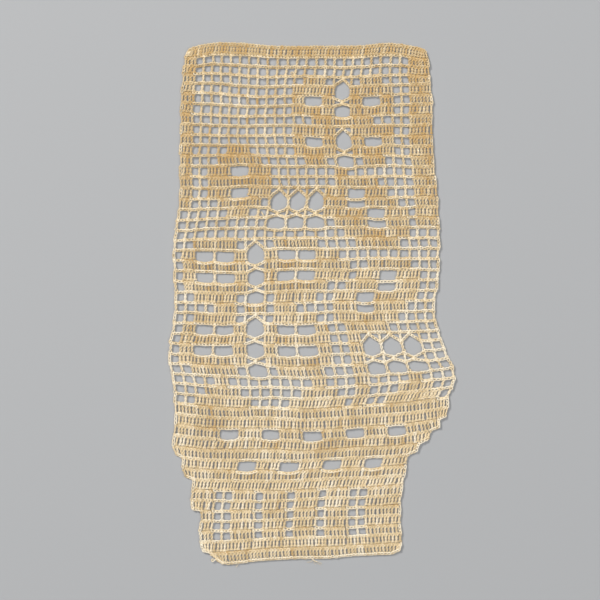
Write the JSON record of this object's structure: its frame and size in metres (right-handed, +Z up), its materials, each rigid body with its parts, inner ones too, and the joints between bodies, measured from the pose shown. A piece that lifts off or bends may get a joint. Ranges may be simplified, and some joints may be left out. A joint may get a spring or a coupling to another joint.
{
  "type": "filet crochet table runner",
  "caption": "Flat table runner of ecru cotton filet crochet, with blossoms and leaves on open net, a solid panel and a narrower scalloped end.",
  "frame": {"origin": "centre of the runner's outline, at the underside that rests on the table", "axes": "+Y along the runner towards its straight banded end, +Z up out of the table, +X across"},
  "size_m": [0.2012, 0.3654, 0.0016],
  "materials": {
    "ecru_cotton": "matt twisted crochet cotton, ecru with faint golden age stains"
  },
  "bodies": {
    "root": {"runner": "ecru_cotton"}
  },
  "joints": []
}
